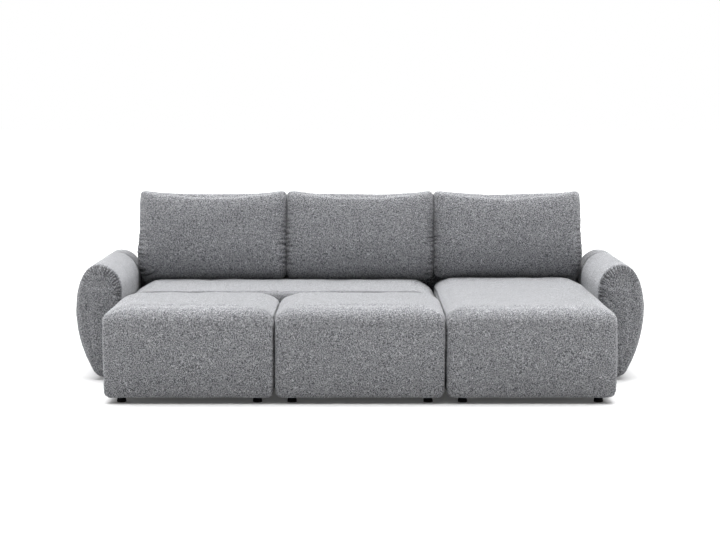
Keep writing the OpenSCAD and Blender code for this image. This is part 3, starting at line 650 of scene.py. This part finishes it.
def arm(node, side, seed):
    """One arm. Its cover is sewn to an end panel that is gathered into pleats over the top."""
    scene = bpy.context.scene
    sizes, soft = scene.sofa_arms, scene.sofa_soft
    low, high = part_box(node)
    wide, tall = high.x - low.x + 0.5 * sizes.loft, high.z + sizes.loft
    inner = low.x if side > 0 else high.x
    outline = Outline([
        arc((sizes.hem, sizes.under + sizes.hem), sizes.hem, 225, 270),
        arc((sizes.foot, sizes.under + sizes.foot_turn), sizes.foot_turn, 270, 334),
        arc((wide - sizes.side, sizes.widest), sizes.side, -25.5, 0),
        arc((wide / 2, sizes.widest), (wide / 2, tall - sizes.widest), 0, 90, sizes.fullness),
        arc((wide / 2, sizes.shoulder), (wide / 2, tall - sizes.shoulder), 90, 180),
        arc((sizes.hem, sizes.under + sizes.hem), sizes.hem, 180, 225),
    ])
    counts = (50, 80)
    core, edges, seam_turn = (wide / 2, 0.3), (sizes.edge, sizes.rear_edge), 2 / 3
    bolster = Bolster(outline, core, low.y, high.y, edges, sizes.dome, counts)

    def on_box(places):
        return side * places[:, 0], places[:, 2], places[:, 1]

    def shape(places):
        u, z, y = bolster.shape(*on_box(places))
        return np.stack([inner + side * u, y, z], 1)

    piece = soft_piece(node, (counts[0], 40, counts[1]), shape)
    places = points_of(piece.data, "place")
    _, away = bolster.seam(*on_box(places), seam_turn)
    points = shape(places)
    touching = (side * (points[:, 0] - inner) < 0.012) & (points[:, 2] < 0.47)
    held = (np.abs(away) < 0.008) | (points[:, 2] < 0.04) | touching
    stuff(piece, np.where(away < 0, 1, 0.5) * soft.swell * ~touching, held)
    places, points = refine(piece)
    u, y, z = side * (points[:, 0] - inner), points[:, 1], points[:, 2]
    along, away = bolster.seam(*on_box(places), seam_turn)
    # The front and the rear panel have pleats of their own, strongest over the top
    along += np.where(places[:, 1] < 0, 0.0, 5.1)
    reach = soft.pleat_reach * np.where(away < 0, 1, 0.35)
    pleat = gathers(along, away, soft.pleat_step, reach, seed, 0.3)
    pleat *= 1 - 0.8 * ease(u, 0.55 * wide, 0.8 * wide) * ease(z, 0.54, 0.46)
    pleat *= 1 - 0.6 * ease(z, 0.36, 0.2)
    # The rear of the arm, beside the cushion and the backrest, is drawn in behind a ring
    ring = hump(y - sizes.ring, 0.014) * ease(u, 0.17, 0.1) * ease(z, 0.2, 0.3)
    # Painted shade on the arm's rear behind the ring, beside the cushion and the backrest
    painted_rear_shade = ease(y, sizes.ring, sizes.ring + 0.012) * ease(y, high.y, high.y - 0.03)
    painted_rear_shade *= ease(u, 0.13, 0)
    out = seam_profile(away, 0.4, 3) - soft.pleat_depth * pleat - 0.004 * ring
    out += uneven(points, seed)
    # Painted shade along the seam, in the pleats and in the ring
    crease = 0.5 * hump(away, soft.seam_width) + 1.5 * pleat + 0.35 * ring + 0.95 * painted_rear_shade
    above_hem = z > 0.02
    cover(piece, node, "sofa", out * above_hem, crease * above_hem)


def backrest(node, seed):
    """The padded backrest behind the cushions, with a seam along its top rear edge"""
    scene = bpy.context.scene
    sizes, soft = scene.sofa_back, scene.sofa_soft
    low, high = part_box(node)
    top, hem, reach = sizes.back_top, sizes.back_hem, sizes.back_reach
    top_z = high.z - top
    front = low.y + (top_z - sizes.knee) * math.tan(sizes.lean) + top / math.cos(sizes.lean)
    outline = Outline([
        arc((low.y + hem, low.z + hem), hem, 225, 270),
        arc((high.y - hem, low.z + hem), hem, 270, 360),
        arc((high.y - top, top_z), top, 0, 90),
        arc((front, top_z), top, 90, 180 - math.degrees(sizes.lean)),
        [[low.y, sizes.knee]],
        arc((low.y + hem, low.z + hem), hem, 180, 225),
    ])
    core, edges = ((low.y + high.y) / 2 + 0.01, 0.3), (sizes.back_end, sizes.back_end)
    bolster = Bolster(outline, core, low.x - reach, high.x + reach, edges, 0.0005, BACK_COUNTS)

    def shape(places):
        y, z, x = bolster.shape(places[:, 1], places[:, 2], places[:, 0])
        return np.stack([x, y, z], 1)

    piece = soft_piece(node, (110, *BACK_COUNTS), shape)
    points = shape(points_of(piece.data, "place"))
    behind = points[:, 1] > high.y - 0.02
    stuff(piece, 0.5 * soft.swell * behind, ~(behind & (points[:, 2] > 0.06)))
    places, points = refine(piece)
    # The seam lies on the roll at the top's rear edge. These steps cross the top, front to rear
    across_top = slice(899, 499, -1)
    seam_y = high.y - 0.3 * top
    seam_at = np.interp(seam_y, outline.points[across_top, 0], outline.at[across_top])
    along, from_end = bolster.seam(places[:, 1], places[:, 2], places[:, 0], 0.6)
    from_top = along - outline.length * seam_at
    near = hump(np.minimum(np.abs(from_top), np.abs(from_end)), soft.seam_width)
    fold = gathers(points[:, 0], from_top, soft.fold_step, soft.fold_reach, seed)
    fold *= ease(np.maximum(from_end, 0), 0, 0.03)
    out = -soft.seam_depth * near - 0.6 * soft.fold_depth * fold
    out += soft.unevenness * swells(points, 0.2, seed + 1) * (points[:, 1] > low.y + 0.03)
    out *= points[:, 2] > low.z + 0.01
    # Painted shade along the top seam and in its gathers
    cover(piece, node, "sofa", out, 0.6 * near + 0.6 * fold)


def back_cushion(side, seat_node, outer, seed):
    """A loose back cushion that leans on the backrest, with gathers at its side seams. An outer
    one swells over the arm, on the side -1 or 1."""
    scene = bpy.context.scene
    sizes, soft = scene.sofa_back, scene.sofa_soft
    body = f"{side}_cushion"
    node = f"{body}_cover"
    low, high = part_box(node)
    middle, half = (low.x + high.x) / 2, (high.x - low.x) / 2 + sizes.plump
    foot_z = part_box(seat_node)[1].z - scene.sofa_seats.crown + sizes.rest_gap
    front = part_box("backrest_cover")[0].y
    sine, cosine, slope = math.sin(sizes.lean), math.cos(sizes.lean), math.tan(sizes.lean)
    foot_y = front + (foot_z - sizes.knee) * slope - (sizes.thickness + sizes.rest_gap) / cosine
    deep = sizes.thickness / 2
    tall = (sizes.top - foot_z + deep * sine) / cosine - sizes.ear
    section = Outline([
        arc((0, 0), (deep, tall / 2), 225, 360, 2),
        arc((0, 0), (deep, tall / 2), 0, 180, 4),
        arc((0, 0), (deep, tall / 2), 180, 225, 2),
    ])
    # The side panels are half as thick as the cushion. Stations lie between them
    stations = np.linspace(0, squarish(0.5, SIDE_POWER), 400)
    depths = squarish(stations, SIDE_POWER) * deep
    runs = np.concatenate([[0], np.cumsum(np.hypot(np.diff(stations) * half, np.diff(depths)))])
    runs /= runs[-1]

    def layout(places):
        """Share of the way to the side, to the rear and up, each point on the full outline"""
        share, ring = around_square(places[:, 1], places[:, 2], *BACK_COUNTS)
        panel = (np.abs(places[:, 0]) > EDGE) & (ring < EDGE)
        station = np.interp(np.abs(places[:, 0]), runs, stations)
        full = np.where(panel, 0.5 * ring, squarish(station, SIDE_POWER))
        station = np.where(panel, squarish(full, SIDE_POWER), station)
        t, v = section.point(share, 0)
        height = np.maximum(0.85, squarish(station, np.where(v < 0, 15, 24)))
        height *= np.where(panel, ring, 1)
        return station, full * t / deep, height * v / (tall / 2)

    def shape(places):
        station, through, up = layout(places)
        crowned = np.maximum(-through, 0) * (1 - up**2) * (1 - station**2) ** 0.7
        t = deep * (1 + through) - sizes.crowned * crowned
        up = (1 + up) / 2
        v = tall * up + (1 - up) * t * slope + sizes.ear * station**3 * up**2
        swelling = sizes.over_arm * hump(v - 0.16, 0.08) * station**8
        x = middle + np.sign(places[:, 0]) * station * half
        x += outer * swelling * (outer * places[:, 0] > 0)
        return np.stack([x, foot_y + t * cosine + v * sine, foot_z + v * cosine - t * sine], 1)

    piece = soft_piece(node, (46, *BACK_COUNTS), shape)
    station, through, up = layout(points_of(piece.data, "place"))
    faces_front = ease(-through, 0.2, 0.9) * ease(1 - station, 0, 0.08)
    limit = 0.0003 + 1.6 * soft.swell * faces_front * ease(-up, 1, 0.75)
    stuff(piece, limit * (through < 0.9), (through > 0.9) | (up < -0.97))
    places, points = refine(piece)
    station, through, up = layout(places)
    x, height = places[:, 0], (1 + up) / 2 * tall
    panel = 0.35 * (1 - np.minimum(np.abs(through), 0.5) / 0.5) * deep
    from_side = (1 - station) * half + panel
    near = hump(np.where(np.abs(x) > EDGE, np.abs(through) * deep, 1), soft.seam_width)
    in_front = ease(-through, -0.1, 0.3)
    # Both sides have gathers of their own, weaker towards the top
    along, reach = height + np.where(x < 0, 0.0, 2.3), 1.6 * soft.fold_reach
    fold = gathers(along, from_side, soft.fold_step, reach, seed, 0.24) * in_front
    fold *= 0.35 + 0.65 * ease(height, 0.4, 0.2)
    # Painted shade darkens the lowest 0.1 m of the cushion, where its foot rolls under
    foot = np.clip(1 - height / 0.1, 0, 1) ** 1.2
    out = -soft.seam_depth * near - 1.3 * soft.fold_depth * fold
    out += uneven(points, seed, 0.2, 1.5) * in_front
    # Painted shade along the side seams, in the gathers and at the foot
    crease = 0.5 * near + fold + 0.5 * foot
    for start, run, width, depth, bend in SIDE_FOLDS.get(side, ()):
        across = height - start - bend * from_side**2 / run
        laid = depth * hump(across, width) * hump(from_side, run) * ((x < 0) & (through < 0))
        out -= laid
        # Painted shade in each single fold
        crease += laid / 0.002
    out *= (through < 0.95) & (up > -0.985)
    cover(piece, node, body, out, crease)


def add(tree, kind, inputs=None, **settings):
    """A shader node with its settings, and a value or a linked output for each named input"""
    node = tree.nodes.new("ShaderNode" + kind)
    for name, value in settings.items():
        setattr(node, name, value)
    for name, value in (inputs or {}).items():
        socket = node.inputs[name]
        if isinstance(value, bpy.types.NodeSocket):
            tree.links.new(value, socket)
        else:
            socket.default_value = (*value, 1) if socket.type == "RGBA" else value
    return node


def calculated(tree, operation, *values):
    """The output of one step of arithmetic on numbers and outputs"""
    return add(tree, "Math", dict(enumerate(values)), operation=operation).outputs[0]


def between(tree, value, low, high):
    """0 below low, 1 above high, and smooth between them"""
    inputs = {"Value": value, "From Min": low, "From Max": high}
    return add(tree, "MapRange", inputs, interpolation_type="SMOOTHSTEP").outputs[0]


def mixed(tree, first, second, share):
    """Two colours mixed by a mask"""
    inputs = {0: share, 6: first, 7: second}
    return add(tree, "Mix", inputs, data_type="RGBA", clamp_factor=True).outputs[2]


def blended(tree, first, second, share):
    """A weighted sum of two masks"""
    part = calculated(tree, "MULTIPLY", first, 1 - share)
    return calculated(tree, "MULTIPLY_ADD", second, share, part)


def flecks(tree, size, low, high, density=(1, 1, 1), offset=(0, 0, 0), roughness=0.5):
    """Soft flecks of one size, and denser along the axes as asked"""
    place = add(tree, "TexCoord").outputs["Object"]
    for operation, amount in (("ADD", offset), ("MULTIPLY", density)):
        place = add(tree, "VectorMath", {0: place, 1: amount}, operation=operation).outputs[0]
    inputs = {"Vector": place, "Scale": 1 / size, "Detail": 2.0, "Roughness": roughness}
    return between(tree, add(tree, "TexNoise", inputs).outputs[0], low, high)


def ribs(tree, direction, spacing):
    """Rounded ribs across one direction, as on woven bands and zip teeth"""
    inputs = {0: add(tree, "TexCoord").outputs["Object"], 1: direction}
    along = add(tree, "VectorMath", inputs, operation="DOT_PRODUCT").outputs["Value"]
    wave = calculated(tree, "PINGPONG", calculated(tree, "DIVIDE", along, spacing), 1.0)
    return between(tree, wave, 0.1, 0.9)


def new_material(name, roughness, **sockets):
    material = bpy.data.materials.new(name)
    material.use_nodes = True
    shader = material.node_tree.nodes["Principled BSDF"]
    shader.inputs["Roughness"].default_value = roughness
    for label, value in sockets.items():
        shader.inputs[label.replace("_", " ")].default_value = value
    return material, material.node_tree, shader


def finish_material(tree, shader, colour, height, distance, strength=0.6):
    tree.links.new(colour, shader.inputs["Base Color"])
    bump = add(tree, "Bump", {"Height": height, "Distance": distance, "Strength": strength})
    tree.links.new(bump.outputs[0], shader.inputs["Normal"])


def fabric():
    """A melange of light, middle and dark yarns in small loops, with a soft nap"""
    colours = bpy.context.scene.sofa_colours
    material, tree, shader = new_material(
        FABRIC, 0.95, Specular_IOR_Level=0.15, Sheen_Weight=0.5, Sheen_Roughness=0.4
    )
    shader.inputs["Sheen Tint"].default_value = (*colours.sheen, 1)
    patches = flecks(tree, 0.0046, 0.4, 0.58, (1, 1, 0.85), roughness=0.6)
    pale = flecks(tree, 0.004, 0.53, 0.67, (1, 1, 0.8), (3, 1, 2), 0.6)
    loops = flecks(tree, 0.0024, 0.3, 0.7, offset=(1, 2, 5))
    shade = mixed(tree, colours.fabric_dark, colours.fabric_mid, patches)
    shade = mixed(tree, shade, colours.fabric_light, pale)
    # Painted shade: the crease attribute darkens the colour towards near black in seams, folds and gaps
    crease = add(tree, "Attribute", attribute_name="crease").outputs["Fac"]
    shade = mixed(tree, shade, PAINTED_SHADE_COLOUR, calculated(tree, "MULTIPLY", crease, 0.8))
    finish_material(tree, shader, shade, blended(tree, loops, patches, 0.35), 0.0016, 0.7)
    return material


def grained(name, roughness, dark, light, size, density, distance, **sockets):
    material, tree, shader = new_material(name, roughness, **sockets)
    broad = flecks(tree, 6 * size, 0.35, 0.65, density, roughness=0.6)
    fine = flecks(tree, size, 0.3, 0.7, density, (2, 3, 1))
    both = blended(tree, fine, broad, 0.5)
    finish_material(tree, shader, mixed(tree, dark, light, both), both, distance)
    return material


def woven(name, roughness, dark, light, spacing_x, spacing_y, distance):
    material, tree, shader = new_material(name, roughness)
    over, across = ribs(tree, (1, 0, 0), spacing_x), ribs(tree, (0, 1, 0), spacing_y)
    both = calculated(tree, "MULTIPLY", over, across)
    finish_material(tree, shader, mixed(tree, dark, light, both), both, distance)
    return material


def inner_materials():
    """Materials of the CAD nodes, by the ending of a node's name"""
    made = {end: grained(*values, **SOCKETS.get(end, {})) for end, values in GRAINED.items()}
    made.update((end, woven(*values)) for end, values in WOVEN.items())
    return made | {"core": made["foam"], "glides": made["feet"]}


class SOFA_OT_materials(bpy.types.Operator):
    """Makes the fabric and the inner materials, and gives each CAD node its own"""

    bl_idname = "sofa.materials"
    bl_label = "Materials"

    def execute(self, context):
        cover_fabric, made = fabric(), inner_materials()
        for name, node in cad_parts.items():
            ending = next((end for end in made if name.endswith(end)), None)
            for slot in node.material_slots:
                slot.material = made.get(ending, cover_fabric)
        return {"FINISHED"}


class SOFA_OT_poufs(bpy.types.Operator):
    """Covers the two poufs"""

    bl_idname = "sofa.poufs"
    bl_label = "Pouf covers"

    def execute(self, context):
        sizes = context.scene.sofa_seats
        rolls = (sizes.pouf_roll, sizes.side_z)
        for body, seed in (("left_pouf", 11), ("middle_pouf", 23)):
            seat(f"{body}_cover", body, (46, 40, 60), rolls, seed)
        return {"FINISHED"}


class SOFA_OT_seats(bpy.types.Operator):
    """Covers the bench and the chaise"""

    bl_idname = "sofa.seats"
    bl_label = "Bench and chaise covers"

    def execute(self, context):
        sizes = context.scene.sofa_seats
        seat("bench_cover", "sofa", (80, 46, 60), (sizes.bench_roll, sizes.bench_fall), 31)
        seat("chaise_cover", "sofa", (46, 76, 60), (sizes.chaise_roll, sizes.side_z), 47)
        return {"FINISHED"}


class SOFA_OT_arms(bpy.types.Operator):
    """Covers the two arms"""

    bl_idname = "sofa.arms"
    bl_label = "Arm covers"

    def execute(self, context):
        arm("left_arm_cover", -1, 53)
        arm("right_arm_cover", 1, 61)
        return {"FINISHED"}


class SOFA_OT_backrest(bpy.types.Operator):
    """Covers the backrest"""

    bl_idname = "sofa.backrest"
    bl_label = "Backrest cover"

    def execute(self, context):
        backrest("backrest_cover", 71)
        return {"FINISHED"}


class SOFA_OT_cushions(bpy.types.Operator):
    """Covers the three loose back cushions"""

    bl_idname = "sofa.cushions"
    bl_label = "Back cushion covers"

    def execute(self, context):
        back_cushion("left", "bench_cover", -1, 83)
        back_cushion("middle", "bench_cover", 0, 89)
        back_cushion("right", "chaise_cover", 1, 97)
        return {"FINISHED"}


def lay_floor(scene):
    """A pale floor, and in the camera's view a little lighter still"""
    bm = bmesh.new()
    bmesh.ops.create_grid(bm, x_segments=1, y_segments=1, size=FLOOR_SIZE)
    mesh = bpy.data.meshes.new("studio_floor")
    bm.to_mesh(mesh)
    bm.free()
    floor = bpy.data.objects.new("studio_floor", mesh)
    scene.collection.objects.link(floor)
    colours = scene.sofa_colours
    material, tree, shader = new_material("Studio floor", 1.0, Specular_IOR_Level=0.0)
    seen = add(tree, "LightPath").outputs["Is Camera Ray"]
    shade = mixed(tree, colours.floor, colours.floor_seen, seen)
    tree.links.new(shade, shader.inputs["Base Color"])
    shader.inputs["Emission Color"].default_value = (1, 1, 1, 1)
    lifted = calculated(tree, "MULTIPLY", seen, colours.floor_lift)
    tree.links.new(lifted, shader.inputs["Emission Strength"])
    mesh.materials.append(material)


def light_room(scene):
    """A large soft box above the sofa and behind it, and a low glow from the rear. The camera
    and reflections see plain white."""
    world = scene.world or bpy.data.worlds.new("Studio")
    scene.world = world
    world.use_nodes = True
    tree = world.node_tree
    background = next(n for n in tree.nodes if n.type == "BACKGROUND")
    direction = add(tree, "TexCoord").outputs["Generated"]
    x, y, z = add(tree, "SeparateXYZ", {0: direction}).outputs
    height = calculated(tree, "MULTIPLY", calculated(tree, "ARCSINE", z), 1 / QUARTER_TURN)
    level = add(tree, "CombineXYZ", {0: x, 1: y}).outputs[0]
    level = add(tree, "VectorMath", {0: level}, operation="NORMALIZE").outputs[0]
    level_y = add(tree, "SeparateXYZ", {0: level}).outputs["Y"]
    behind = calculated(tree, "MULTIPLY_ADD", level_y, 0.5, 0.5)

    def band(*stops):
        ramp = add(tree, "ValToRGB", {0: height})
        ramp.color_ramp.interpolation = "LINEAR"
        elements = ramp.color_ramp.elements
        for index, (place, value) in enumerate(stops):
            element = elements[index] if index < 2 else elements.new(place)
            element.position = place
            element.color = (value, value, value, 1)
        return ramp.outputs[0]

    rear = band((0.0, 1), (0.167, 0), (0.389, 0.17), (0.667, 0.665), (1.0, 0))
    rear = calculated(tree, "MULTIPLY", calculated(tree, "MULTIPLY", rear, behind), REAR_LIGHT)
    above = band((0.667, 0), (1.0, 1))
    light = calculated(tree, "MULTIPLY_ADD", above, TOP_LIGHT, rear)
    rays = add(tree, "LightPath").outputs
    seen = rays["Is Camera Ray"]
    for label in ("Is Glossy Ray", "Is Transmission Ray"):
        seen = calculated(tree, "MAXIMUM", seen, rays[label])
    strength = add(tree, "Mix", {0: seen, 2: light, 3: 1.0}, data_type="FLOAT").outputs[0]
    tree.links.new(strength, background.inputs["Strength"])
    background.inputs["Color"].default_value = (1, 1, 1, 1)


def place_camera(scene):
    lens = bpy.data.cameras.new("camera")
    lens.sensor_fit, lens.sensor_width, lens.lens = "HORIZONTAL", 36, CAMERA_LENS
    lens.clip_end = 200
    camera = bpy.data.objects.new("camera", lens)
    camera.location = CAMERA_AT
    camera.rotation_euler = (math.radians(90 - CAMERA_DOWN), 0, 0)
    scene.collection.objects.link(camera)
    scene.camera = camera
    scene.view_settings.view_transform = "Standard"


class SOFA_OT_stage(bpy.types.Operator):
    """Sets up the studio: a pale floor, soft light from above and the camera"""

    bl_idname = "sofa.stage"
    bl_label = "Studio"

    def execute(self, context):
        lay_floor(context.scene)
        light_room(context.scene)
        place_camera(context.scene)
        return {"FINISHED"}


OPERATORS = (
    SOFA_OT_stage,
    SOFA_OT_materials,
    SOFA_OT_poufs,
    SOFA_OT_seats,
    SOFA_OT_arms,
    SOFA_OT_backrest,
    SOFA_OT_cushions,
)
GROUPS = {
    "sofa_seats": SofaSeatSizes,
    "sofa_arms": SofaArmSizes,
    "sofa_back": SofaBackSizes,
    "sofa_soft": SofaSoftSizes,
    "sofa_colours": SofaColours,
}


class SOFA_PT_panel(bpy.types.Panel):
    """Lists the parts of the sofa bed and their sizes and colours"""

    bl_idname = "SOFA_PT_panel"
    bl_label = "Sofa bed with chaise"
    bl_space_type = "VIEW_3D"
    bl_region_type = "UI"
    bl_category = "Sofa Bed"

    def draw(self, context):
        for operator in OPERATORS:
            self.layout.operator(operator.bl_idname)
        for name in GROUPS:
            values = getattr(context.scene, name)
            box = self.layout.box()
            for key in values.bl_rna.properties.keys():
                if key not in ("rna_type", "name"):
                    box.prop(values, key)


def register():
    for item in (*GROUPS.values(), *OPERATORS, SOFA_PT_panel):
        bpy.utils.register_class(item)
    for name, group in GROUPS.items():
        setattr(bpy.types.Scene, name, bpy.props.PointerProperty(type=group))


def unregister():
    for name in GROUPS:
        delattr(bpy.types.Scene, name)
    for item in (SOFA_PT_panel, *reversed(OPERATORS), *GROUPS.values()):
        bpy.utils.unregister_class(item)


def main():
    register()
    bpy.ops.sofa.stage()
    bpy.ops.sofa.materials()
    bpy.ops.sofa.poufs()
    bpy.ops.sofa.seats()
    bpy.ops.sofa.arms()
    bpy.ops.sofa.backrest()
    bpy.ops.sofa.cushions()


if __name__ == "__main__":
    main()
